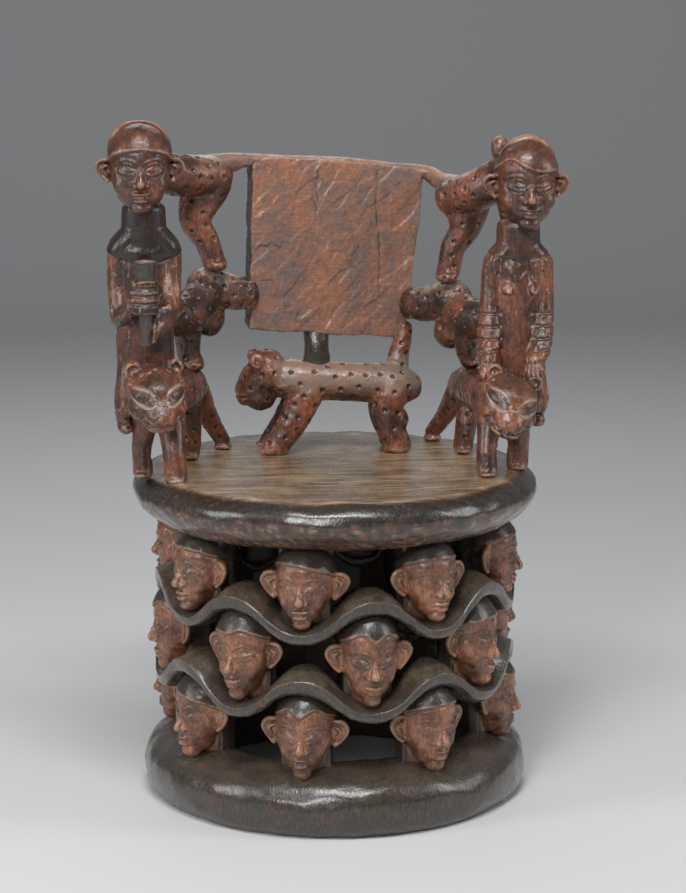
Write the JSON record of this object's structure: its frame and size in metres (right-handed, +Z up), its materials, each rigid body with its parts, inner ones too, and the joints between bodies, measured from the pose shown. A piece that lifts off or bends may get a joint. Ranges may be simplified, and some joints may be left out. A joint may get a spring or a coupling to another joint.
{
  "type": "carved openwork throne stool",
  "caption": "Round carved wooden throne: openwork drum of heads and wavy bands, thick seat, leopards, two riders and a square back panel.",
  "frame": {"origin": "middle of the whole chair's footprint, on the floor", "axes": "+Z up, the chair faces -Y, +X to the right of someone looking at its front"},
  "size_m": [0.6176, 0.5502, 0.9073],
  "materials": {
    "dark_wood": "dark oiled and smoked hardwood, soft polish",
    "red_brown_wood": "red-brown carved hardwood with a worn polish",
    "worn_wood": "gouge-marked red-brown hardwood"
  },
  "bodies": {
    "root": {"back_panel": "worn_wood", "base_ring": "dark_wood", "centre_leopard": "red_brown_wood", "drinking_cup": "red_brown_wood", "head_bottom_1": "red_brown_wood", "head_bottom_2": "red_brown_wood", "head_bottom_3": "red_brown_wood", "head_bottom_4": "red_brown_wood", "head_bottom_5": "red_brown_wood", "head_bottom_6": "red_brown_wood", "head_bottom_7": "red_brown_wood", "head_bottom_8": "red_brown_wood", "head_middle_1": "red_brown_wood", "head_middle_2": "red_brown_wood", "head_middle_3": "red_brown_wood", "head_middle_4": "red_brown_wood", "head_middle_5": "red_brown_wood", "head_middle_6": "red_brown_wood", "head_middle_7": "red_brown_wood", "head_middle_8": "red_brown_wood", "head_top_1": "red_brown_wood", "head_top_2": "red_brown_wood", "head_top_3": "red_brown_wood", "head_top_4": "red_brown_wood", "head_top_5": "red_brown_wood", "head_top_6": "red_brown_wood", "head_top_7": "red_brown_wood", "head_top_8": "red_brown_wood", "middle_leopard_left": "red_brown_wood", "middle_leopard_right": "red_brown_wood", "panel_post": "worn_wood", "rider_left_body": "red_brown_wood", "rider_left_cap": "dark_wood", "rider_left_head": "red_brown_wood", "rider_right_body": "red_brown_wood", "rider_right_cap": "dark_wood", "rider_right_head": "red_brown_wood", "seat_disc": "dark_wood", "seat_leopard_left": "red_brown_wood", "seat_leopard_right": "red_brown_wood", "top_leopard_left": "red_brown_wood", "top_leopard_right": "red_brown_wood", "top_rail": "worn_wood", "wavy_band_lower": "dark_wood", "wavy_band_upper": "dark_wood"}
  },
  "joints": []
}
